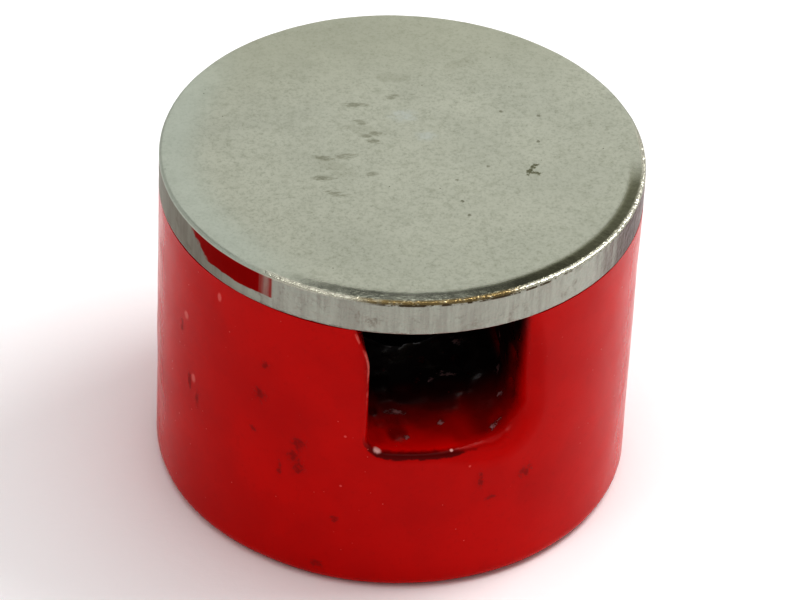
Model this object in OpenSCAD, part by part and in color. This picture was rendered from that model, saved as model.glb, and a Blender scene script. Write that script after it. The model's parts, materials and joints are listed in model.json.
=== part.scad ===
// Button magnet with its keeper plate.
//
// A round cast magnet stands on its base with its two poles up, one on each side of a slot that runs right
// through along Y. Red enamel covers its side and its slot. The pole faces and the base are ground bare, and
// the fixing hole's wall is bare too.
// A round steel keeper plate lies on the poles and lifts straight off along +Z.
//
// Millimetres, +Z up. The origin is the centre of the base.

/* [Magnet] */
// Diameter of the enamelled magnet
body_d = 19.05; // [17:0.05:26]
// Height from the base to the pole faces
body_h = 12.7; // [11:0.1:20]
// Radius round the edge of the base
base_edge_r = 0.5; // [0.35:0.05:1.5]
// Thickness of the enamel
enamel_t = 0.2; // [0.1:0.05:0.3]

/* [Slot] */
// Width of the slot between its enamelled walls
slot_w = 5.95; // [5.5:0.05:8]
// Depth of the slot, from the pole faces to its enamelled floor
slot_d = 5.95; // [4:0.05:8]
// Radius in the bottom corner on the -X side
slot_left_r = 0.8; // [0.3:0.1:1.5]
// Radius in the bottom corner on the +X side
slot_right_r = 1.4; // [0.3:0.1:1.5]

/* [Fixing hole] */
// Diameter of the hole from the base up into the slot
hole_d = 4.8; // [3:0.1:5]

/* [Keeper plate] */
// Diameter of the plate
keeper_d = 19.05; // [17:0.05:26]
// Thickness of the plate
keeper_t = 1.6; // [1.2:0.1:4]
// Width of the band that curves down round the top edge
roll_w = 1; // [0.4:0.1:2]
// How far that band falls by the time it reaches the rim
roll_drop = 0.13; // [0.05:0.01:0.3]

/* [Hidden] */
$fn = 96;
// How far a cutting shape runs past what it cuts
past = 1;
// Radius of the arc that is level at the band's inner edge and has fallen by roll_drop at the rim
roll_r = (roll_w * roll_w + roll_drop * roll_drop) / (2 * roll_drop);

// Round block that stands on z = 0, with its bottom edge rounded
module round_block(d, h, edge_r) {
    rotate_extrude()
        union() {
            square([d / 2 - edge_r, h]);
            translate([0, edge_r]) square([d / 2, h - edge_r]);
            translate([d / 2 - edge_r, edge_r]) circle(edge_r);
        }
}

// Outline of the slot, seen along Y: its floor is on y = 0 and its sides go up past the pole faces
module slot_outline(w, depth, left_r, right_r) {
    translate([left_r - w / 2, left_r]) circle(left_r);
    translate([w / 2 - right_r, right_r]) circle(right_r);
    translate([left_r - w / 2, 0]) square([w - left_r - right_r, depth + past]);
    translate([-w / 2, left_r]) square([w / 2, depth - left_r + past]);
    translate([0, right_r]) square([w / 2, depth - right_r + past]);
}

// Space that the slot takes out of the magnet
module slot_space(w, depth, left_r, right_r) {
    translate([0, body_d, body_h - depth])
        rotate([90, 0, 0])
            linear_extrude(2 * body_d) slot_outline(w, depth, left_r, right_r);
}

// Space of the fixing hole, from below the base into the slot
module hole_space(d) {
    translate([0, 0, -past]) cylinder(d = d, h = body_h - slot_d + 2 * past);
}

// The bare casting: the enamelled magnet less one thickness of enamel, save on the pole faces and on the flat
// of its base, which goes down to base_z
module casting_shape(base_z) {
    difference() {
        union() {
            translate([0, 0, enamel_t])
                round_block(body_d - 2 * enamel_t, body_h - enamel_t, base_edge_r - enamel_t);
            translate([0, 0, base_z])
                cylinder(d = body_d - 2 * base_edge_r, h = base_edge_r - base_z);
        }
        slot_space(slot_w + 2 * enamel_t, slot_d + enamel_t, slot_left_r + enamel_t, slot_right_r + enamel_t);
        hole_space(hole_d);
    }
}

// Cast magnet, its pole faces and its base ground flat
module magnet_casting() {
    color("dimgray") casting_shape(0);
}

// Red enamel on the casting's side, rounded bottom edge and slot
module enamel_coat() {
    color("firebrick")
        difference() {
            round_block(body_d, body_h, base_edge_r);
            slot_space(slot_w, slot_d, slot_left_r, slot_right_r);
            hole_space(hole_d);
            casting_shape(-past);
        }
}

// Section of the keeper plate from its axis to its rim
module keeper_section() {
    inner_r = keeper_d / 2 - roll_w;
    square([keeper_d / 2, keeper_t - roll_drop]);
    square([inner_r, keeper_t]);
    intersection() {
        translate([inner_r, keeper_t - roll_drop]) square([roll_w, roll_drop]);
        translate([inner_r, keeper_t - roll_r]) circle(roll_r);
    }
}

// Blanked steel keeper plate, lying on the pole faces
module keeper_plate() {
    color("lightgray")
        translate([0, 0, body_h]) rotate_extrude() keeper_section();
}

magnet_casting();
enamel_coat();
keeper_plate();
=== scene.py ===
"""Button magnet with its keeper plate, as it looks: a red-enamelled casting under a plated steel disc.

The shapes are worked out in millimetres from the CAD model's own boxes, and turned into metres at the end.
The camera side of the magnet is -Y, where one mouth of the slot is.
"""

import json
import math

import bpy
import numpy as np
from mathutils import Matrix, Vector


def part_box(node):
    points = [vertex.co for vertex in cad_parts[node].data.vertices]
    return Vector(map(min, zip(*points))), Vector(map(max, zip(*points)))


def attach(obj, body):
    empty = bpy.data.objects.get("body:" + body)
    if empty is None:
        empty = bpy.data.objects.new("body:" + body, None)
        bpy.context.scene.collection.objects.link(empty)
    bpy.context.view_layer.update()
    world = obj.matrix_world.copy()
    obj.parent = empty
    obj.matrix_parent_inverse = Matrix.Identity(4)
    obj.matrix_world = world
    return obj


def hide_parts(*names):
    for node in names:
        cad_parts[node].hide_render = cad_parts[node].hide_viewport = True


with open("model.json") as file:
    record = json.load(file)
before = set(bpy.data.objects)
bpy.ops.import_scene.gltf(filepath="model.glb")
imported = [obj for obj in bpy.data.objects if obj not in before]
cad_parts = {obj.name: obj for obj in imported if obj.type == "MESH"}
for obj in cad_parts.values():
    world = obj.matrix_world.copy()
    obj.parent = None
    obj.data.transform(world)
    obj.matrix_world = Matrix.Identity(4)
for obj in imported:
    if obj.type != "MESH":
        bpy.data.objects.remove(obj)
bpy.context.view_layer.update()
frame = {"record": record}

MM = 0.001

# The magnet's sizes in millimetres, taken from the frame
coat_low, coat_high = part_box("enamel_coat")
plate_low, plate_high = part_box("keeper_plate")
BODY_R = (coat_high.y - coat_low.y) / 2 / MM
POLE_Z = plate_low.z / MM
PLATE_R = (plate_high.y - plate_low.y) / 2 / MM
PLATE_TOP = plate_high.z / MM
HOLE_R = next(m for m in frame["record"]["mounts"] if m["name"] == "fixing_hole")["dims"]["r_mm"]

# Room left for the enamel's ripples inside the CAD model's radius
ROOM = 0.03

# The enamel and the slot, as in the CAD model
COAT = 0.2
BASE_EDGE = 0.5
SLOT_HALF = 2.975
SLOT_FLOOR = POLE_Z - 5.95
SLOT_LEFT_R = 0.8
SLOT_RIGHT_R = 1.4

# The slot's left wall flares out at its mouths: how far, between which heights, and how suddenly
FLARE = 0.55
FLARE_LOW = 3.9
FLARE_HIGH = 6.0
FLARE_CURVE = 1.5

# The keeper plate's top edge: the band that rolls down, how far it falls, and the corner's radius after it
ROLL_WIDTH = 0.75
ROLL_DROP = 0.07
CORNER_R = 0.12
# The direction in which it rolls down most, round from -Y towards +X
ROLL_SIDE = math.radians(20)


# ---------------------------------------------------------------- numbers

def smooth(low, high, value):
    """0 below low, 1 above high, and an even curve between them."""
    t = np.clip((value - low) / (high - low), 0, 1)
    return t * t * (3 - 2 * t)


def noise(points, scale, seed):
    """Smooth random values from -1 to 1 at each point, changing over about scale millimetres."""
    count = 48
    lattice = np.random.default_rng(seed).uniform(-1, 1, (count, count, count))
    place = points / scale
    cell = np.floor(place).astype(int)
    t = place - cell
    t = t * t * t * (t * (6 * t - 15) + 10)
    near = cell % count
    far = (cell + 1) % count
    total = np.zeros(len(points))
    for corner in range(8):
        pick = [(corner >> axis) & 1 for axis in range(3)]
        index = [far[:, axis] if pick[axis] else near[:, axis] for axis in range(3)]
        weight = np.ones(len(points))
        for axis in range(3):
            weight = weight * (t[:, axis] if pick[axis] else 1 - t[:, axis])
        total += weight * lattice[index[0], index[1], index[2]]
    return total


def corner(a, b, radius):
    """Distance to a corner where a and b are both below zero, rounded to the radius."""
    out = np.hypot(np.maximum(a + radius, 0), np.maximum(b + radius, 0))
    return np.minimum(-radius, np.maximum(a, b)) + out


# ---------------------------------------------------------------- the magnet as a distance field

def block_field(points, inset):
    """Distance to the round block without its slot, inset from the enamelled size."""
    x, y, z = points.T
    radius = BODY_R - ROOM - inset
    edge = BASE_EDGE - inset
    return corner(np.hypot(x, y) - radius, inset - z, edge)


def slot_field(points, inset):
    """Distance to the space of the slot, below zero inside it. The walls lean and flare as in the photo."""
    x, y, z = points.T
    height = z - SLOT_FLOOR
    mouth = smooth(BODY_R - 3.0, BODY_R - 0.6, np.abs(y))
    flare = FLARE * smooth(FLARE_LOW, FLARE_HIGH, height) ** FLARE_CURVE * mouth
    lean = 0.04 * np.clip(height - 1.4, 0, 5)
    left = -SLOT_HALF - flare - inset
    right = SLOT_HALF + 0.05 - lean + inset
    floor = SLOT_FLOOR - inset
    on_left = corner(left - x, floor - z, SLOT_LEFT_R + inset)
    on_right = corner(x - right, floor - z, SLOT_RIGHT_R + inset)
    return np.maximum(on_left, on_right)


def mouth_radius(points):
    """How round the enamel is at the edge where the slot comes out of the side: thin on -X, thick on +X."""
    height = points[:, 2] - SLOT_FLOOR
    across = smooth(-1.0, 2.6, points[:, 0])
    low = 0.26 + 0.12 * smooth(1.0, 0.0, height)
    high = 1.15 - 0.35 * smooth(3.5, 6.0, height)
    return low + (high - low) * across


def inside_slot(points):
    """0 on the outside of the magnet and 1 well inside the slot."""
    y = np.abs(points[:, 1])
    edge = np.sqrt(np.maximum(BODY_R ** 2 - points[:, 0] ** 2, 0))
    return smooth(0.3, 2.0, edge - y) * smooth(1.4, 0.6, slot_field(points, 0))


def casting_lumps(points):
    """Height of the cast surface's lumps and pits, in millimetres."""
    rolling = noise(points, 1.6, 11) * 0.07
    lumps = np.maximum(noise(points, 0.8, 12) - 0.15, 0) * 0.22
    fine = noise(points, 0.33, 13) * 0.018
    return rolling - lumps + fine


def enamel_field(points):
    """Distance to the outside of the enamel."""
    lumps = casting_lumps(points) * inside_slot(points)
    ripple = noise(points, 3.1, 21) * 0.018 + noise(points, 1.4, 22) * 0.007
    slot = slot_field(points, 0) + lumps
    body = corner(block_field(points, 0) + ripple, -slot, mouth_radius(points))
    hole = np.hypot(points[:, 0], points[:, 1]) - HOLE_R - 0.04
    return corner(body, -hole, 0.12)


def casting_field(points):
    """Distance to the bare casting under the enamel."""
    lumps = casting_lumps(points) * inside_slot(points)
    rough = noise(points, 0.7, 31) * 0.03
    slot = slot_field(points, COAT) + lumps
    body = corner(block_field(points, COAT) + rough, -slot, mouth_radius(points) - 0.14)
    land = np.maximum(np.hypot(points[:, 0], points[:, 1]) - BODY_R + BASE_EDGE, points[:, 2] - BASE_EDGE)
    return np.minimum(body, land)


def net(field, xs, ys, zs):
    """Quads on the surface where the field is zero, over a grid of points in millimetres."""
    grid = np.stack(np.meshgrid(xs, ys, zs, indexing="ij"), -1)
    value = field(grid.reshape(-1, 3)).reshape(grid.shape[:3])
    cells = np.array(value.shape) - 1
    total = np.zeros((cells.prod(), 3))
    count = np.zeros(cells.prod())
    quads = []
    for axis in range(3):
        b, c = (axis + 1) % 3, (axis + 2) % 3
        low = [slice(None)] * 3
        high = [slice(None)] * 3
        low[axis], high[axis] = slice(0, -1), slice(1, None)
        first, second = value[tuple(low)], value[tuple(high)]
        crossing = np.argwhere((first < 0) != (second < 0))
        f0 = first[tuple(crossing.T)]
        f1 = second[tuple(crossing.T)]
        step = np.zeros(3, int)
        step[axis] = 1
        p0 = grid[tuple(crossing.T)]
        p1 = grid[tuple((crossing + step).T)]
        where = p0 + (p1 - p0) * (f0 / (f0 - f1))[:, None]
        around = []
        for shift_b, shift_c in ((-1, -1), (0, -1), (0, 0), (-1, 0)):
            cell = crossing.copy()
            cell[:, b] += shift_b
            cell[:, c] += shift_c
            index = np.ravel_multi_index(tuple(cell.T), tuple(cells))
            count += np.bincount(index, minlength=len(count))
            for k in range(3):
                total[:, k] += np.bincount(index, where[:, k], minlength=len(count))
            around.append(index)
        around = np.stack(around, 1)
        back = f0 > 0
        around[back] = around[back][:, ::-1]
        quads.append(around)
    quads = np.concatenate(quads)
    used, faces = np.unique(quads, return_inverse=True)
    return total[used] / count[used, None], faces.reshape(-1, 4)


def settle(field, points, reach):
    """Moves each point straight onto the surface where the field is zero."""
    tiny = 0.004
    for _ in range(4):
        here = field(points)
        slope = np.stack([
            (field(points + np.eye(3)[k] * tiny) - field(points - np.eye(3)[k] * tiny)) / (2 * tiny)
            for k in range(3)
        ], 1)
        steep = np.maximum((slope ** 2).sum(1), 0.2)
        move = -here[:, None] * slope / steep[:, None]
        length = np.linalg.norm(move, axis=1)
        move *= np.minimum(1, reach / np.maximum(length, 1e-9))[:, None]
        points = points + move
    return points


# ---------------------------------------------------------------- meshes

def new_piece(name, points, faces):
    """Object of that name from points in millimetres."""
    mesh = bpy.data.meshes.new(name)
    mesh.from_pydata((points * MM).tolist(), [], faces.tolist() if hasattr(faces, "tolist") else faces)
    mesh.update()
    piece = bpy.data.objects.new(name, mesh)
    bpy.context.scene.collection.objects.link(piece)
    return piece


def steps(*stops):
    """Grid lines from the first stop to the last. Each pair of stops has the spacing written between them."""
    lines = [stops[0]]
    for spacing, stop in zip(stops[1::2], stops[2::2]):
        count = max(1, round((stop - lines[-1]) / spacing))
        lines += list(np.linspace(lines[-1], stop, count + 1)[1:])
    return np.array(lines)


def field_piece(name, field, xs, ys, zs):
    """Object on the zero surface of a field."""
    points, faces = net(field, xs, ys, zs)
    points = settle(field, points, 0.05)
    return new_piece(name, points, faces)


def cutter(name, low, high):
    """Plain box between two corners in millimetres, for cutting only."""
    corners = np.array([[(low, high)[(k >> axis) & 1][axis] for axis in range(3)] for k in range(8)])
    sides = [(0, 2, 3, 1), (4, 5, 7, 6), (0, 1, 5, 4), (2, 6, 7, 3), (0, 4, 6, 2), (1, 3, 7, 5)]
    return new_piece(name, corners, sides)


def drill(name, radius, low, high):
    """Plain round bar up the axis, for cutting only."""
    turn = np.linspace(0, 2 * math.pi, 128, endpoint=False)
    ring = np.stack([np.cos(turn) * radius, np.sin(turn) * radius], 1)
    points = np.concatenate([np.insert(ring, 2, low, 1), np.insert(ring, 2, high, 1)])
    sides = [(k, (k + 1) % 128, 128 + (k + 1) % 128, 128 + k) for k in range(128)]
    ends = [tuple(range(127, -1, -1)), tuple(range(128, 256))]
    return new_piece(name, points, sides + ends)


def cut(piece, tool):
    """Takes the tool's space out of the piece."""
    change = piece.modifiers.new("cut", "BOOLEAN")
    change.operation = "DIFFERENCE"
    change.solver = "MANIFOLD"
    change.object = tool
    graph = bpy.context.evaluated_depsgraph_get()
    result = bpy.data.meshes.new_from_object(piece.evaluated_get(graph))
    piece.modifiers.remove(change)
    piece.data = result


def shade(piece, angle):
    """Smooth shading, with edges sharper than the angle in degrees left crisp."""
    mesh = piece.data
    mesh.polygons.foreach_set("use_smooth", [True] * len(mesh.polygons))
    mesh.set_sharp_from_angle(angle=math.radians(angle))


def discard(*tools):
    """Removes what was made only for cutting."""
    for tool in tools:
        bpy.data.objects.remove(tool)


def make_magnet():
    """The enamel and the casting inside it. Both are made too tall and cut off level with the pole faces."""
    side = BODY_R + 0.4
    top = POLE_Z + 0.5
    fine, plain = 0.1, 0.16
    xs = steps(-side, plain, -3.6, fine, -1.8, plain, 1.0, fine, 4.2, plain, side)
    ys = steps(-side, fine, -8.2, plain, 8.2, fine, side)
    zs = steps(-0.4, plain, 6.0, fine, 8.4, plain, top)

    def tall_enamel(points):
        return np.maximum(enamel_field(points), points[:, 2] - top + 0.2)

    enamel = field_piece("enamel", tall_enamel, xs, ys, zs)

    def tall_casting(points):
        deep = np.maximum(casting_field(points), -points[:, 2] - 0.6)
        return np.maximum(deep, points[:, 2] - top)

    loose = 0.24
    side -= 0.1
    xs = steps(-side, loose, side)
    zs = steps(-1.0, loose, top + 0.3)
    casting = field_piece("casting", tall_casting, xs, xs, zs)

    far = 2 * BODY_R
    above = cutter("above", (-far, -far, POLE_Z), (far, far, 2 * POLE_Z))
    below = cutter("below", (-far, -far, -POLE_Z), (far, far, 0))
    bar = drill("bar", HOLE_R, -POLE_Z / 2, POLE_Z)
    wide_bar = drill("wide_bar", HOLE_R + 0.02, -POLE_Z / 2, 2.0)
    cut(enamel, casting)
    cut(enamel, wide_bar)
    cut(enamel, above)
    cut(enamel, below)
    cut(casting, bar)
    cut(casting, above)
    cut(casting, below)
    discard(above, below, bar, wide_bar)
    shade(enamel, 50)
    shade(casting, 40)
    return enamel, casting


def roll_fall(t):
    """Share of its fall that the plate's edge has rolled down, from its flat top at 0 to its corner at 1."""
    bend = 0.5
    return np.where(t < bend, t * t / (2 * bend), t - bend / 2) / (1 - bend / 2)


def plate_profile():
    """Radii and heights of the keeper plate's section, from the middle of its top to the middle below."""
    steep = 81
    inner = PLATE_R - ROLL_WIDTH
    outer = PLATE_R - CORNER_R + CORNER_R * math.cos(math.radians(steep))
    middle = PLATE_TOP - ROLL_DROP - CORNER_R * math.sin(math.radians(steep))
    top = [(inner * t, PLATE_TOP) for t in np.linspace(0, 1, 22)]
    roll = [
        (inner + (outer - inner) * t, PLATE_TOP - ROLL_DROP * roll_fall(t))
        for t in np.linspace(0, 1, 14)[1:]
    ]
    bend = [
        (PLATE_R + CORNER_R * (math.cos(angle) - 1), middle + CORNER_R * math.sin(angle))
        for angle in np.radians(np.linspace(steep, 0, 12)[1:])
    ]
    rim = [(PLATE_R, z) for z in np.linspace(middle, POLE_Z + 0.06, 12)[1:]]
    heel = [(PLATE_R - 0.02, POLE_Z + 0.02), (PLATE_R - 0.07, POLE_Z)]
    under = [(PLATE_R * t, POLE_Z) for t in np.linspace(0.97, 0, 16)]
    return np.array(top + roll + bend + rim + heel + under)


def make_plate():
    """The keeper plate. It was blanked from sheet, so its top edge rolls over, most in front and on +X."""
    profile = plate_profile()
    turns = 480
    turn = np.linspace(0, 2 * math.pi, turns, endpoint=False)
    rows = profile[1:-1]
    ring = np.stack([np.cos(turn), np.sin(turn)], 1)
    points = np.concatenate([
        np.concatenate([ring * radius, np.full((turns, 1), height)], 1) for radius, height in rows
    ])
    radius = np.hypot(points[:, 0], points[:, 1])
    out = smooth(PLATE_R - 1.2, PLATE_R, radius)
    under = points[:, 2] < POLE_Z + 0.001
    toward_roll = points[:, 0] * math.sin(ROLL_SIDE) - points[:, 1] * math.cos(ROLL_SIDE)
    flat = 0.92 * smooth(0.70, 0.42, toward_roll / np.maximum(radius, 0.01))
    fall = np.minimum(PLATE_TOP - points[:, 2], ROLL_DROP)
    points[:, 2] += flat * fall * smooth(POLE_Z + 0.3, PLATE_TOP - 0.3, points[:, 2])
    wobble = (noise(points, 2.6, 41) - 1) * 0.010 + (noise(points, 0.45, 42) - 1) * 0.006
    dip = (noise(points * [1, 1, 0.2], 3.0, 43) - 1) * 0.012
    points[:, :2] *= (1 + out * wobble / PLATE_R)[:, None]
    points[:, 2] += np.where(under, 0, dip * smooth(POLE_Z + 0.8, PLATE_TOP - 0.3, points[:, 2]))
    middle = len(points)
    points = np.concatenate([points, [[0, 0, PLATE_TOP - 0.012], [0, 0, POLE_Z]]])
    faces = []
    for row in range(len(rows) - 1):
        for k in range(turns):
            a, b = row * turns + k, row * turns + (k + 1) % turns
            faces.append((a, a + turns, b + turns, b))
    last = (len(rows) - 1) * turns
    for k in range(turns):
        faces.append((middle, k, (k + 1) % turns))
        faces.append((middle + 1, last + (k + 1) % turns, last + k))
    plate = new_piece("keeper", points, faces)
    shade(plate, 60)
    return plate


# ---------------------------------------------------------------- materials

class Paint:
    """A material's node tree, with short ways to add what the materials here are made of."""

    def __init__(self, name):
        self.material = bpy.data.materials.new(name)
        self.material.use_nodes = True
        self.nodes = self.material.node_tree.nodes
        self.links = self.material.node_tree.links
        self.shader = self.nodes["Principled BSDF"]
        coordinates = self.nodes.new("ShaderNodeTexCoord")
        scale = self.nodes.new("ShaderNodeVectorMath")
        scale.operation = "SCALE"
        scale.inputs["Scale"].default_value = 1 / MM
        self.links.new(coordinates.outputs["Object"], scale.inputs[0])
        self.place = scale.outputs[0]
        split = self.nodes.new("ShaderNodeSeparateXYZ")
        self.links.new(self.place, split.inputs[0])
        self.x, self.y, self.z = split.outputs

    def put(self, socket, value):
        """Sets a socket, from another node or to a plain value."""
        if isinstance(value, bpy.types.NodeSocket):
            self.links.new(value, socket)
        else:
            socket.default_value = value

    def calc(self, kind, a, b=0.0, c=0.0):
        """One step of arithmetic."""
        node = self.nodes.new("ShaderNodeMath")
        node.operation = kind
        for socket, value in zip(node.inputs, (a, b, c)):
            self.put(socket, value)
        return node.outputs[0]

    def times(self, first, *others):
        """Product of all the values."""
        for other in others:
            first = self.calc("MULTIPLY", first, other)
        return first

    def vector(self, x, y, z):
        """A vector from three values."""
        node = self.nodes.new("ShaderNodeCombineXYZ")
        for socket, value in zip(node.inputs, (x, y, z)):
            self.put(socket, value)
        return node.outputs[0]

    def length(self, x, y, z):
        """Length of the vector of three values."""
        node = self.nodes.new("ShaderNodeVectorMath")
        node.operation = "LENGTH"
        self.put(node.inputs[0], self.vector(x, y, z))
        return node.outputs["Value"]

    def stretched(self, x, y, z):
        """The place, with each direction multiplied."""
        node = self.nodes.new("ShaderNodeVectorMath")
        node.operation = "MULTIPLY"
        self.put(node.inputs[0], self.place)
        node.inputs[1].default_value = (x, y, z)
        return node.outputs[0]

    def noise(self, scale, detail=2.0, roughness=0.5, place=None, twist=0.0):
        """Noise with that many ups and downs in a millimetre."""
        node = self.nodes.new("ShaderNodeTexNoise")
        self.put(node.inputs["Vector"], place or self.place)
        node.inputs["Scale"].default_value = scale
        node.inputs["Detail"].default_value = detail
        node.inputs["Roughness"].default_value = roughness
        node.inputs["Distortion"].default_value = twist
        return node.outputs["Fac"]

    def specks(self, scale, size):
        """Small round specks, 1 in their middle, at random places."""
        node = self.nodes.new("ShaderNodeTexVoronoi")
        self.put(node.inputs["Vector"], self.place)
        node.inputs["Scale"].default_value = scale
        return self.band(node.outputs["Distance"], size, size * 0.5)

    def band(self, value, low, high, first=0.0, second=1.0):
        """Runs smoothly from first to second as the value goes from low to high."""
        node = self.nodes.new("ShaderNodeMapRange")
        node.interpolation_type = "SMOOTHSTEP"
        for name, number in (("From Min", low), ("From Max", high), ("To Min", first), ("To Max", second)):
            self.put(node.inputs[name], number)
        self.put(node.inputs["Value"], value)
        return node.outputs["Result"]

    def blend(self, amount, first, second):
        """Two colours mixed, from the first at 0 to the second at 1."""
        node = self.nodes.new("ShaderNodeMix")
        node.data_type = "RGBA"
        self.put(node.inputs["Factor"], amount)
        self.put(node.inputs["A"], first if isinstance(first, bpy.types.NodeSocket) else (*first, 1))
        self.put(node.inputs["B"], second if isinstance(second, bpy.types.NodeSocket) else (*second, 1))
        return node.outputs["Result"]

    def over(self, colour, amount, strength, new):
        """The colour with a new one laid over it, as strongly as the amount times the strength."""
        return self.blend(self.calc("MULTIPLY", amount, strength), colour, new)

    def layered(self, colour, *marks):
        """The colour with marks laid over it in turn, each given by an amount, a strength and a colour."""
        for amount, strength, new in marks:
            colour = self.over(colour, amount, strength, new)
        return colour

    def patch(self, centre, reach, turn, ragged, share, torn):
        """A ragged patch. Its reach is in millimetres along X, Y and Z, before a turn in degrees about Z."""
        away = self.nodes.new("ShaderNodeVectorMath")
        away.operation = "SUBTRACT"
        self.put(away.inputs[0], self.place)
        away.inputs[1].default_value = centre
        rotate = self.nodes.new("ShaderNodeVectorRotate")
        rotate.rotation_type = "Z_AXIS"
        self.put(rotate.inputs["Vector"], away.outputs[0])
        rotate.inputs["Angle"].default_value = -math.radians(turn)
        shrink = self.nodes.new("ShaderNodeVectorMath")
        shrink.operation = "DIVIDE"
        self.put(shrink.inputs[0], rotate.outputs[0])
        shrink.inputs[1].default_value = reach
        length = self.nodes.new("ShaderNodeVectorMath")
        length.operation = "LENGTH"
        self.put(length.inputs[0], shrink.outputs[0])
        beyond = self.calc("MULTIPLY_ADD", self.calc("SUBTRACT", 0.5, ragged), torn, length.outputs["Value"])
        near = self.band(beyond, 1.0, 0.1)
        return self.band(self.calc("MULTIPLY", near, ragged), share - 0.25, share + 0.12)

    def patches(self, marks, scale=4.0, share=0.5, torn=0.0, place=None):
        """Several ragged patches, each given by a centre, a reach and a turn. Torn ones are less even."""
        ragged = self.noise(scale, 4, 0.7, place=place)
        total = 0.0
        for centre, reach, turn in marks:
            total = self.calc("MAXIMUM", total, self.patch(centre, reach, turn, ragged, share, torn))
        return total

    def bump(self, height, depth, below=None):
        """Surface relief, its full height given in millimetres."""
        node = self.nodes.new("ShaderNodeBump")
        node.inputs["Strength"].default_value = 1.0
        node.inputs["Distance"].default_value = depth * MM
        self.put(node.inputs["Height"], height)
        if below:
            self.put(node.inputs["Normal"], below)
        return node.outputs["Normal"]

    def finish(self, **sockets):
        """Sets the shader's sockets, and gives the material."""
        for name, value in sockets.items():
            self.put(self.shader.inputs[name.replace("_", " ")], value)
        return self.material


def wall_scuffs():
    """Scuffs on the enamel that the photographed magnet has: their centres, reaches and turns."""
    blotches = (
        (-5.6, -7.7, 5.9), (-5.4, -7.8, 6.6), (-5.4, -7.8, 5.4), (3.4, -8.9, 5.0), (-6.8, -6.7, 8.3),
    )
    upright = ((-6.05, -7.3, 5.1), (1.5, -9.4, 5.2), (-8.7, -3.8, 6.1), (-8.9, -3.3, 6.6), (-9.1, -2.6, 8.9))
    small = ((-6.6, -6.8, 9.9), (-7.0, -6.5, 6.5), (-4.1, -8.6, 3.3))
    marks = [(centre, (0.65, 0.6, 0.6), 0) for centre in blotches]
    marks += [(centre, (0.2, 0.6, 0.8), -30) for centre in upright]
    marks += [(centre, (0.3, 0.4, 0.35), 0) for centre in small]
    marks += [((1.9, -9.3, 4.2), (0.5, 0.5, 0.2), 0), ((-4.7, -8.3, 0.8), (0.8, 0.6, 0.4), 0)]
    return marks


def wall_chips():
    """Pale chips and scratches in the enamel: their centres, reaches and turns."""
    chips = ((-3.9, -8.7, 5.0), (-3.8, -8.7, 7.5), (1.0, -9.45, 6.0))
    scratches = ((-9.0, -2.9, 9.6), (-8.1, -5.0, 11.9), (-8.8, -3.5, 6.9))
    marks = [(centre, (0.09, 0.3, 0.09), 0) for centre in chips]
    return marks + [(centre, (0.1, 0.4, 0.35), 0) for centre in scratches]


def painted_bead_glints():
    """Beads of enamel along the front edge of the slot's floor, painted pale as highlights: their centres,
    reaches and turns.
    """
    places = ((-2.55, -8.9, 6.88, 0.3), (0.3, -9.2, 6.72, 0.14), (1.5, -9.1, 6.72, 0.14))
    return [((x, y, z), (reach, reach, reach), 0) for x, y, z, reach in places]


def slot_glint_lumps():
    """Lumps on the slot's right wall and floor, painted pale as highlights: centres, reaches and turns."""
    right = ((2.9, -5.2, 8.9), (2.9, -5.1, 8.1), (2.8, -5.6, 7.6), (2.7, -6.8, 7.3))
    floor = ((0.2, -7.5, 6.7), (0.4, -4.9, 6.7), (-1.3, -8.2, 6.7))
    marks = [(centre, (0.4, 0.3, 0.35), 0) for centre in right]
    marks += [(centre, (0.25, 0.25, 0.4), 0) for centre in floor]
    wide = ((2.3, -8.1, 6.8, 30), (-1.4, -6.6, 6.7, -14), (1.1, -4.7, 6.7, -14), (1.9, -2.8, 6.7, -60))
    return marks + [((x, y, z), (0.6, 0.28, 0.4), turn) for x, y, z, turn in wide]


def enamel_red(paint):
    """The enamel's own red, a little uneven."""
    deep, bright, spots = (0.44, 0.0015, 0.0004), (0.50, 0.003, 0.0006), (0.36, 0.0015, 0.0004)
    colour = paint.blend(paint.band(paint.noise(0.3, 3), 0.3, 0.7), deep, bright)
    return paint.blend(paint.band(paint.noise(4.0, 4, 0.7), 0.5, 0.8, 0, 0.35), colour, spots)


def slot_shelter(paint):
    """How sheltered the slot is, from 0 at its mouths to 1 inside. High up, that starts nearer the mouths."""
    rise = paint.calc("MAXIMUM", paint.calc("SUBTRACT", paint.z, SLOT_FLOOR + 0.3), 0.0)
    depth = paint.calc("SUBTRACT", BODY_R, paint.calc("ABSOLUTE", paint.y))
    depth = paint.calc("MULTIPLY_ADD", rise, 0.7, depth)
    between_walls = paint.band(paint.calc("ABSOLUTE", paint.x), 3.3, 2.9)
    above_floor = paint.band(paint.z, SLOT_FLOOR - 0.4, SLOT_FLOOR - 0.3)
    return paint.times(between_walls, paint.band(depth, 1.4, 4.8), above_floor)


def past_corner(paint, over, radius):
    """Distance past a bottom corner of the slot, from how far over that corner's centre a place is."""
    over = paint.calc("MAXIMUM", over, 0.0)
    under = paint.calc("MAXIMUM", paint.calc("SUBTRACT", SLOT_FLOOR + radius, paint.z), 0.0)
    return paint.calc("SUBTRACT", paint.length(over, under, 0.0), radius)


def past_slot(paint):
    """Distance outside the slot's outline, seen along Y. It is below zero inside the slot."""
    left = past_corner(paint, paint.calc("SUBTRACT", SLOT_LEFT_R - SLOT_HALF, paint.x), SLOT_LEFT_R)
    right = past_corner(paint, paint.calc("SUBTRACT", paint.x, SLOT_HALF - SLOT_RIGHT_R), SLOT_RIGHT_R)
    return paint.calc("MAXIMUM", left, right)


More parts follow.
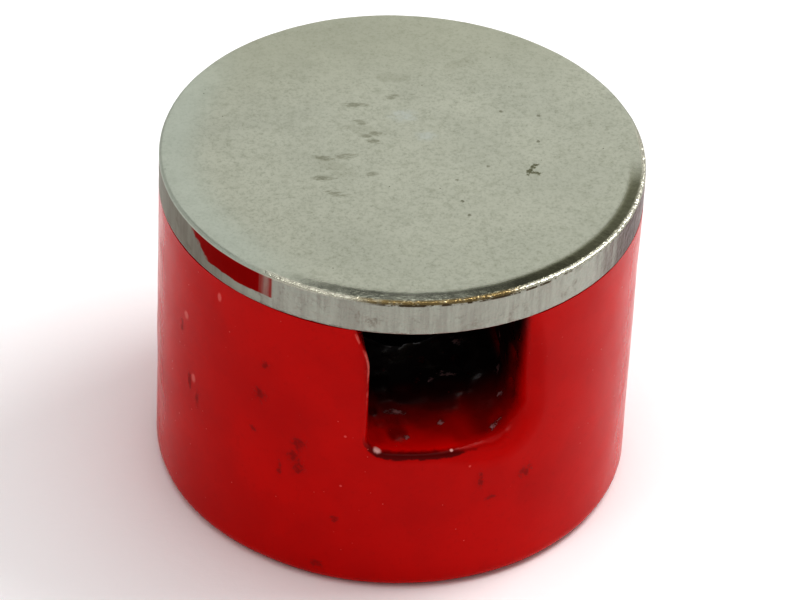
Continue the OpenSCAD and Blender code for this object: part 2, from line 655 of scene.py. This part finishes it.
def painted_floor_edge_shade(paint, past):
    """Painted shade: the dark line along the edge of the slot's floor, at its mouths."""
    skin = paint.calc("SUBTRACT", BODY_R, paint.length(paint.x, paint.y, 0.0))
    ragged = paint.calc("MULTIPLY_ADD", paint.noise(2.2, 4, 0.65), 0.30, -0.15)
    return paint.times(
        paint.band(paint.calc("ADD", past, ragged), 0.26, 0.18),
        paint.band(paint.calc("ADD", skin, ragged), 0.5, 0.2),
        paint.band(paint.calc("ADD", past, skin), 0.13, 0.24),
        paint.band(paint.z, SLOT_FLOOR + 1.0, SLOT_FLOOR - 0.05),
    )


def painted_lip_highlight(paint):
    """Painted highlight: the pale edge of the slot's left wall, high up in its front mouth, where it flares
    out.
    """
    flare = paint.band(paint.z, SLOT_FLOOR + FLARE_LOW, SLOT_FLOOR + FLARE_HIGH)
    flare = paint.calc("POWER", flare, FLARE_CURVE)
    away = paint.calc("MULTIPLY_ADD", flare, FLARE, paint.calc("ADD", paint.x, SLOT_HALF + 0.06))
    return paint.times(
        paint.band(paint.calc("ABSOLUTE", away), 0.09, 0.03),
        paint.band(paint.y, -8.0, -8.6),
        paint.band(paint.z, SLOT_FLOOR + 2.0, SLOT_FLOOR + 3.6),
        paint.band(paint.noise(2.5, 3), 0.35, 0.6),
    )


def slot_colours(paint, colour, shelter):
    """The colour in and round the slot: painted shade going black inside, painted light and shade in red at
    its mouths, and a painted shade line and a painted highlight at its edges.
    """
    # Painted shade: deeper in the slot the enamel is painted near black, where little light reaches.
    painted_slot_shade = paint.times(shelter, paint.band(paint.noise(1.6, 4, 0.65), 0.0, 0.4))
    colour = paint.blend(painted_slot_shade, colour, (0.02, 0.001, 0.001))
    past = past_slot(paint)
    # Painted light and shade: near the slot's mouths the enamel is painted bright red on +X, where light
    # falls, and dark red on -X.
    mouth = paint.times(paint.band(past, 0.08, -0.05), paint.calc("SUBTRACT", 1.0, painted_slot_shade))
    bright, deep = (0.86, 0.004, 0.001), (0.25, 0.001, 0.0005)
    colour = paint.blend(mouth, colour, paint.blend(paint.band(paint.x, 0.0, 2.3), bright, deep))
    # A painted shade line along the floor's edge, and a painted highlight on the left lip.
    return paint.layered(
        colour,
        (painted_floor_edge_shade(paint, past), 0.8, (0.07, 0.001, 0.001)),
        (painted_lip_highlight(paint), 0.6, (0.80, 0.28, 0.24)),
    )


def enamel_paint():
    """Thick red gloss enamel with dust in it and scuffs on it, painted shade inside the slot, and painted
    light and highlights at its mouths.
    """
    paint = Paint("red_gloss_enamel")
    shelter = slot_shelter(paint)
    dust = paint.times(paint.specks(2.2, 0.09), paint.band(paint.noise(0.5), 0.5, 0.62))
    scuff = paint.band(paint.noise(1.1, 6, 0.75, twist=1.0), 0.68, 0.76)
    scuff = paint.times(scuff, paint.calc("MULTIPLY_ADD", shelter, -0.45, 0.45))
    scuff = paint.calc("MAXIMUM", scuff, paint.patches(wall_scuffs(), scale=6.0, share=0.48, torn=1.2))
    chips = paint.patches(wall_chips(), scale=2.0, share=0.3)
    # Painted highlights: pale glints on beads of enamel at the slot's front edge.
    beads = paint.patches(painted_bead_glints(), scale=2.0, share=0.3)
    # Painted highlights: pale glints painted on raised lumps in the slot, which are also glossier.
    painted_glint_lumps = paint.patches(slot_glint_lumps(), scale=6.0, share=0.42, torn=2.0)
    colour = paint.layered(
        slot_colours(paint, enamel_red(paint), shelter),
        (dust, 0.55, (0.75, 0.25, 0.22)),
        (scuff, 0.45, (0.07, 0.006, 0.008)),
        (chips, 0.4, (0.75, 0.30, 0.27)),
        (beads, 0.8, (0.90, 0.62, 0.58)),
        (painted_glint_lumps, 0.75, (0.75, 0.52, 0.53)),
    )

    sheen = paint.band(paint.noise(0.8, 3), 0.3, 0.7, 0.18, 0.26)
    rough = paint.calc("ADD", sheen, paint.times(scuff, 0.25))
    dull = paint.times(shelter, paint.band(paint.noise(1.3, 3), 0.62, 0.5, 0, 0.4))
    rough = paint.calc("ADD", rough, paint.times(dull, paint.calc("SUBTRACT", 1.0, painted_glint_lumps)))
    relief = paint.bump(paint.noise(1.5, 2), 0.012)
    relief = paint.bump(paint.noise(6.0, 3, 0.6), 0.003, relief)
    relief = paint.bump(dust, 0.02, relief)
    relief = paint.bump(painted_glint_lumps, 0.06, relief)
    return paint.finish(Base_Color=colour, Roughness=rough, IOR=1.34, Normal=relief)


def top_clean():
    """Cleaner places on the plate's top: their centres, reaches and turns."""
    return [((0.5, 2.4, PLATE_TOP), (1.3, 1.0, 1.0), 0), ((1.1, 0.9, PLATE_TOP), (1.0, 0.8, 1.0), 0)]


def top_smudges():
    """Dark streaks on the plate's top, where the photographed one has them: centres, reaches and turns."""
    short = (
        (0.3, 3.7, 16), (-1.3, 2.2, -26), (-0.8, 1.4, -17),
        (-1.0, 0.9, -29), (-1.5, -1.2, -9), (-1.3, 1.3, -20),
    )
    long = ((-1.2, 3.4, -9), (-3.2, 0.1, -14), (-2.3, 0.1, -4), (-3.4, -1.2, -4), (-3.1, -2.3, -35))
    marks = [((x, y, PLATE_TOP), (0.55, 0.34, 1.0), turn) for x, y, turn in short]
    marks += [((x, y, PLATE_TOP), (0.9, 0.38, 1.0), turn) for x, y, turn in long]
    return marks


def top_smears():
    """Faint wide smears on the plate's top: centres, reaches and turns."""
    places = ((3.4, 5.5, 1.3, 18), (0.6, 5.0, 1.2, 0), (-1.2, 1.7, 1.6, -30), (-2.8, -0.6, 1.9, -50))
    return [((x, y, PLATE_TOP), (reach, 0.7, 1.0), turn) for x, y, reach, turn in places]


def top_specks():
    """Small dark specks on the plate's top: centres, reaches and turns."""
    places = ((1.7, -2.1), (1.7, -4.4), (3.1, -1.4), (4.4, 2.1), (5.8, 1.6), (5.4, -0.1), (1.6, -3.5))
    return [((x, y, PLATE_TOP), (0.17, 0.17, 1.0), 0) for x, y in places]


def top_stain():
    """The bigger stain on the plate's top, which has three arms: centres, reaches and turns."""
    arms = ((4.6, -2.0, 60), (4.85, -1.7, 35), (4.85, -2.15, -20))
    return [((x, y, PLATE_TOP), (0.42, 0.19, 1.0), turn) for x, y, turn in arms]


def plating(paint, grain):
    """The plating's own grey-green, mottled, with a fine dark grain."""
    pale, grey = (0.460, 0.468, 0.402), (0.430, 0.439, 0.378)
    colour = paint.blend(paint.band(paint.noise(0.25, 4, 0.6), 0.3, 0.7), grey, pale)
    colour = paint.blend(paint.band(grain, 0.45, 0.75, 0, 0.4), colour, (0.28, 0.29, 0.23))
    fine = paint.noise(9.0, 3, 0.7)
    return paint.blend(paint.band(fine, 0.45, 0.75, 0, 0.5), colour, (0.27, 0.28, 0.23))


def top_colours(paint, colour, radius):
    """The colour with the marks on the plate's top. It has painted shade at the back, and a paler, cooler
    painted reflection near its left edge.
    """
    # Painted shade over the top's far side, and a painted reflection near its left edge.
    back = paint.band(paint.y, 2.5, 8.5)
    left = paint.times(paint.band(radius, PLATE_R - 2.2, PLATE_R - 0.6), paint.band(paint.x, -4.5, -8.0))
    smears = paint.patches(top_smears(), scale=3.0, share=0.40, torn=1.0)
    streaky = paint.stretched(0.45, 2.0, 1.0)
    smudges = paint.patches(top_smudges(), scale=5.0, share=0.44, torn=0.8, place=streaky)
    specks = paint.patches(top_specks(), scale=9.0, share=0.42)
    stain = paint.patches(top_stain(), scale=9.0, share=0.38, torn=1.2)
    pits = paint.times(paint.specks(1.3, 0.05), paint.band(paint.noise(0.7), 0.5, 0.56))
    return paint.layered(
        colour,
        (paint.patches(top_clean()), 0.5, (0.47, 0.50, 0.48)),
        (back, 0.45, (0.37, 0.375, 0.30)),
        (left, 0.5, (0.47, 0.51, 0.46)),
        (smears, 0.14, (0.20, 0.20, 0.14)),
        (smudges, 0.44, (0.15, 0.15, 0.10)),
        (specks, 0.55, (0.10, 0.10, 0.06)),
        (stain, 0.75, (0.08, 0.08, 0.03)),
        (pits, 0.7, (0.12, 0.12, 0.09)),
    )


def rolled_part(paint, radius):
    """1 where the plate's top edge rolls down most."""
    toward_roll = paint.calc("MULTIPLY", paint.x, math.sin(ROLL_SIDE))
    toward_roll = paint.calc("MULTIPLY_ADD", paint.y, -math.cos(ROLL_SIDE), toward_roll)
    outside = paint.band(radius, PLATE_R - ROLL_WIDTH, PLATE_R - 0.5)
    return paint.times(outside, paint.band(toward_roll, 4.0, 6.6))


def corner_part(paint, radius):
    """1 on the corner between the plate's top and its rim, on the front half."""
    return paint.times(
        paint.band(radius, PLATE_R - 0.25, PLATE_R - 0.12),
        paint.band(paint.y, 1.0, -1.0),
        paint.band(paint.x, -7.2, -6.0),
    )


def rim_part(paint, radius, height):
    """The height's amount on the plate's rim, and 0 further in."""
    return paint.times(height, paint.band(radius, PLATE_R - 0.3, PLATE_R - 0.2))


def edge_colours(paint, colour, radius, corner_band):
    """The colour over the plate's top edge: a dark greenish painted reflection in front on +X, where the edge
    rolls down, and a pale corner tinted golden in front as a painted reflection.
    """
    # Painted reflection: a dark greenish band over the rolled edge, where it mirrors a dark room.
    painted_roll_reflection = paint.times(
        paint.band(radius, PLATE_R - 0.75, PLATE_R - 0.5),
        paint.band(paint.x, -1.0, 4.0),
        paint.band(paint.y, -1.6, -3.8),
    )
    colour = paint.over(colour, painted_roll_reflection, 0.8, (0.14, 0.14, 0.09))
    # Painted reflection: the corner is tinted golden over the front.
    painted_golden_reflection = paint.band(paint.calc("ABSOLUTE", paint.calc("ADD", paint.x, 0.4)), 3.6, 2.4)
    painted_golden_reflection = paint.times(painted_golden_reflection, paint.band(paint.noise(3.0, 3, 0.6), 0.3, 0.5, 0.5, 1.0))
    return paint.blend(corner_band, colour, paint.blend(painted_golden_reflection, (0.50, 0.49, 0.42), (0.24, 0.19, 0.105)))


def dark_red_rim_patch(paint):
    """The dark red patch on the plate's rim, in front on -X. Its right end breaks up into upright lines."""
    low = paint.calc("MULTIPLY_ADD", paint.noise(1.8, 3, 0.6), 0.16, PLATE_TOP - 1.20)
    above = paint.band(paint.calc("SUBTRACT", paint.z, low), 0.0, 0.06)
    slant = paint.calc("MULTIPLY_ADD", paint.calc("SUBTRACT", paint.z, PLATE_TOP), 0.49, paint.x)
    slant = paint.calc("MULTIPLY_ADD", paint.noise(3.0, 3, 0.6), 0.3, slant)
    left = paint.band(slant, -8.91, -8.79)
    right = paint.band(paint.x, -6.45, -6.52)
    solid = paint.band(paint.x, -6.75, -6.95)
    streaks = paint.noise(2.6, 2, 0.6, place=paint.stretched(1, 1, 0.02))
    solid = paint.calc("MAXIMUM", solid, paint.band(streaks, 0.36, 0.60, 0.35, 0.9))
    in_front = paint.band(paint.y, 0.0, -1.0)
    return paint.times(paint.times(left, right), paint.times(above, solid), in_front)


def rim_colours(paint, colour, rim, lines, side):
    """The colour of the plate's rim: painted reflections make it darker and browner at both sides and colour
    its shear lines dark red; it has blotches and the red patch.
    """
    colour = paint.blend(rim, colour, (0.430, 0.434, 0.388))
    # Painted reflections: the rim is painted darker and browner towards both sides.
    for start, full, strength, brown in (
        (4.5, 8.5, 0.3, (0.22, 0.19, 0.18)),
        (6.4, 7.9, 0.75, (0.07, 0.03, 0.03)),
        (-6.5, -9.0, 0.55, (0.20, 0.175, 0.14)),
    ):
        colour = paint.blend(paint.times(rim, paint.band(paint.x, start, full, 0, strength)), colour, brown)
    # Real shear lines, their dark red colour a painted reflection, strongest on +X.
    wide = paint.noise(0.7, 4, 0.75, place=paint.stretched(1, 1, 0.08))
    torn = paint.calc("MULTIPLY_ADD", wide, 0.5, paint.calc("MULTIPLY", lines, 0.5))
    torn = paint.times(paint.band(torn, 0.42, 0.62), side)
    colour = paint.blend(paint.times(rim, torn), colour, (0.14, 0.09, 0.085))
    blotch = paint.band(paint.noise(1.1, 5, 0.7), 0.56, 0.72, 0, 0.55)
    colour = paint.blend(paint.times(rim, blotch), colour, (0.22, 0.19, 0.16))
    return paint.blend(paint.times(rim, dark_red_rim_patch(paint)), colour, (0.31, 0.002, 0.001))


def dark_rim_line(paint, radius):
    """The dark brown line on the plate's rim, just under its top edge."""
    from_line = paint.calc("ABSOLUTE", paint.calc("SUBTRACT", paint.z, PLATE_TOP - 0.21))
    middle = paint.calc("ABSOLUTE", paint.calc("SUBTRACT", paint.x, 1.0))
    return paint.times(
        rim_part(paint, radius, paint.band(from_line, 0.06, 0.03)),
        paint.band(paint.noise(2.6, 4, 0.7), 0.42, 0.52),
        paint.band(middle, 4.6, 3.2),
    )


def plate_metal():
    """Plated steel: satin and faintly smudged on top, brighter over its edge, with shear lines on its rim."""
    paint = Paint("plated_sheet_steel")
    radius = paint.length(paint.x, paint.y, 0.0)
    grain = paint.noise(3.2, 5, 0.7)
    rolled = rolled_part(paint, radius)
    corner_band = corner_part(paint, radius)
    rim = rim_part(paint, radius, paint.band(paint.z, PLATE_TOP - 0.15, PLATE_TOP - 0.22))
    lines = paint.noise(4.0, 5, 0.7, place=paint.stretched(1, 1, 0.12))
    side = paint.band(paint.x, 5.5, 8.0, 0.22, 0.9)
    colour = top_colours(paint, plating(paint, grain), radius)
    colour = edge_colours(paint, colour, radius, corner_band)
    colour = rim_colours(paint, colour, rim, lines, side)
    colour = paint.over(colour, dark_rim_line(paint, radius), 0.85, (0.07, 0.045, 0.02))

    rough = paint.band(paint.noise(0.9, 4, 0.6), 0.3, 0.7, 0.32, 0.40)
    rough = paint.calc("SUBTRACT", rough, paint.times(paint.calc("MAXIMUM", rolled, corner_band), 0.20))
    rough = paint.calc("ADD", rough, paint.times(rim, 0.16))
    relief = paint.bump(paint.noise(0.5, 2), 0.008)
    relief = paint.bump(grain, 0.0035, relief)
    beads = paint.times(paint.calc("SUBTRACT", paint.noise(4.5, 3, 0.6), 0.5), corner_band)
    relief = paint.bump(beads, 0.07, relief)
    waves = paint.times(paint.calc("SUBTRACT", paint.noise(2.2, 3, 0.6), 0.5), rolled)
    relief = paint.bump(waves, 0.010, relief)
    relief = paint.bump(paint.times(lines, side, rim), 0.05, relief)
    return paint.finish(Base_Color=colour, Metallic=1.0, Roughness=rough, Normal=relief)


def casting_metal():
    """Cast alnico: ground lines across its pole faces and base, and a dark cast surface in the hole."""
    paint = Paint("cast_alnico")
    lines = paint.noise(9.0, 4, 0.7, place=paint.stretched(1, 0.04, 1))
    pale, grey = (0.58, 0.57, 0.54), (0.40, 0.39, 0.37)
    colour = paint.blend(paint.band(lines, 0.35, 0.65), grey, pale)
    rust = paint.band(paint.noise(0.9, 5, 0.65), 0.55, 0.72, 0, 0.6)
    colour = paint.blend(rust, colour, (0.22, 0.18, 0.15))
    pits = paint.times(paint.specks(1.7, 0.12), paint.band(paint.noise(0.6), 0.5, 0.6))
    colour = paint.blend(pits, colour, (0.05, 0.045, 0.04))
    from_ground = paint.calc("MINIMUM", paint.z, paint.calc("SUBTRACT", POLE_Z, paint.z))
    cast = paint.band(from_ground, 0.02, 0.08)
    colour = paint.blend(cast, colour, (0.14, 0.13, 0.12))
    rough = paint.band(cast, 0.0, 1.0, 0.36, 0.7)
    relief = paint.bump(lines, 0.006)
    relief = paint.bump(paint.calc("SUBTRACT", 1.0, pits), 0.05, relief)
    relief = paint.bump(paint.times(paint.noise(4.0, 4, 0.6), cast), 0.04, relief)
    return paint.finish(Base_Color=colour, Metallic=1.0, Roughness=rough, Normal=relief)


def floor_paper():
    """Matte white paper under the magnet."""
    paint = Paint("white_paper")
    colour = paint.blend(paint.noise(0.05, 3), (0.86, 0.86, 0.86), (0.89, 0.89, 0.89))
    relief = paint.bump(paint.noise(2.0, 3), 0.01)
    return paint.finish(Base_Color=colour, Roughness=0.9, Normal=relief)


# ---------------------------------------------------------------- stage, light and camera

# How far each lamp is from the magnet, in magnet radii
LAMP_DISTANCE = 14

# The photograph's camera: its direction round from -Y, its height and its roll in degrees, its distance and
# the point it aims at in magnet radii, and its lens in millimetres on a sensor 36 mm wide
CAMERA_AZIMUTH = -13.5
CAMERA_ELEVATION = 37.86
CAMERA_ROLL = 2.83
CAMERA_DISTANCE = 20
AIM_RIGHT = 0.0463
AIM_UP = 0.5775
LENS = 209.7


def make_floor():
    """A plain pale floor, a hair under the magnet's base."""
    reach = 60 * BODY_R
    points = np.array([[-reach, -reach, 0], [reach, -reach, 0], [reach, reach, 0], [-reach, reach, 0.0]])
    floor = new_piece("floor", points, [(0, 1, 2, 3)])
    floor.location.z = -0.02 * MM
    floor.data.materials.append(floor_paper())


def make_lamp(name, azimuth, elevation, size, radiance):
    """Soft round lamp, aimed at the magnet from a direction in degrees. Its size is in magnet radii."""
    lamp = bpy.data.lights.new(name, "AREA")
    lamp.shape = "DISK"
    lamp.size = size * BODY_R * MM
    lamp.energy = radiance * math.pi * math.pi * (lamp.size / 2) ** 2
    holder = bpy.data.objects.new(name, lamp)
    bpy.context.scene.collection.objects.link(holder)
    a, e = math.radians(azimuth), math.radians(elevation)
    toward = Vector((math.sin(a) * math.cos(e), -math.cos(a) * math.cos(e), math.sin(e)))
    holder.location = toward * LAMP_DISTANCE * BODY_R * MM
    holder.rotation_mode = "QUATERNION"
    holder.rotation_quaternion = toward.to_track_quat("Z", "Y")


def make_light():
    """A pale room, with a big soft lamp on the right, a wide one above, and others behind and in front."""
    world = bpy.data.worlds.new("studio")
    bpy.context.scene.world = world
    world.use_nodes = True
    nodes, links = world.node_tree.nodes, world.node_tree.links
    nodes["Background"].inputs["Color"].default_value = (1, 1, 1, 1)
    direction = nodes.new("ShaderNodeTexCoord")
    split = nodes.new("ShaderNodeSeparateXYZ")
    # Its light is 0.55 up to 40 degrees above the horizon, and falls to 0.16 at 55 degrees
    fade = nodes.new("ShaderNodeMapRange")
    fade.interpolation_type = "SMOOTHSTEP"
    for name, number in (("From Min", 0.64), ("From Max", 0.82), ("To Min", 0.55), ("To Max", 0.16)):
        fade.inputs[name].default_value = number
    links.new(direction.outputs["Generated"], split.inputs[0])
    links.new(split.outputs["Z"], fade.inputs["Value"])
    links.new(fade.outputs["Result"], nodes["Background"].inputs["Strength"])
    make_lamp("key", azimuth=100, elevation=52, size=8, radiance=4)
    make_lamp("above", azimuth=0, elevation=88, size=16, radiance=0.75)
    make_lamp("back", azimuth=166, elevation=34, size=8, radiance=0.27)
    make_lamp("front", azimuth=-57, elevation=48, size=3.5, radiance=2.6)


def make_camera():
    """Camera as the photograph's was: high in front, a little left of the slot, tilted by a few degrees."""
    azimuth, elevation, roll = (math.radians(d) for d in (CAMERA_AZIMUTH, CAMERA_ELEVATION, CAMERA_ROLL))
    distance, aim_right, aim_up = CAMERA_DISTANCE * BODY_R, AIM_RIGHT * BODY_R, AIM_UP * BODY_R
    back = Vector((
        math.sin(azimuth) * math.cos(elevation),
        -math.cos(azimuth) * math.cos(elevation),
        math.sin(elevation),
    ))
    right = Vector((math.cos(azimuth), math.sin(azimuth), 0))
    up = back.cross(right)
    across = right * math.cos(roll) + up * math.sin(roll)
    along = up * math.cos(roll) - right * math.sin(roll)
    camera = bpy.data.objects.new("camera", bpy.data.cameras.new("camera"))
    bpy.context.scene.collection.objects.link(camera)
    camera.data.sensor_width = 36
    camera.data.lens = LENS
    camera.data.clip_start = 0.01
    camera.data.clip_end = 10
    turn = Matrix((across, along, back)).transposed().to_4x4()
    place = (across * aim_right + along * aim_up + back * distance) * MM
    camera.matrix_world = Matrix.Translation(place) @ turn
    bpy.context.scene.camera = camera


def main():
    """Makes the three pieces, each in place of its CAD node, and then the stage."""
    enamel, casting = make_magnet()
    plate = make_plate()
    for piece, material, node, slot, body in (
        (enamel, enamel_paint(), "enamel_coat", "red_enamel", "magnet"),
        (casting, casting_metal(), "magnet_casting", "cast_alnico", "magnet"),
        (plate, plate_metal(), "keeper_plate", "plated_steel", "keeper"),
    ):
        piece.data.materials.clear()
        piece.data.materials.append(material)
        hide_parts(node)
        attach(piece, body)
        print(piece.name, len(piece.data.vertices), "points", len(piece.data.polygons), "faces")
    make_floor()
    make_light()
    make_camera()
    bpy.context.scene.view_settings.view_transform = "Standard"
    bpy.context.scene.view_settings.look = "Very High Contrast"


main()
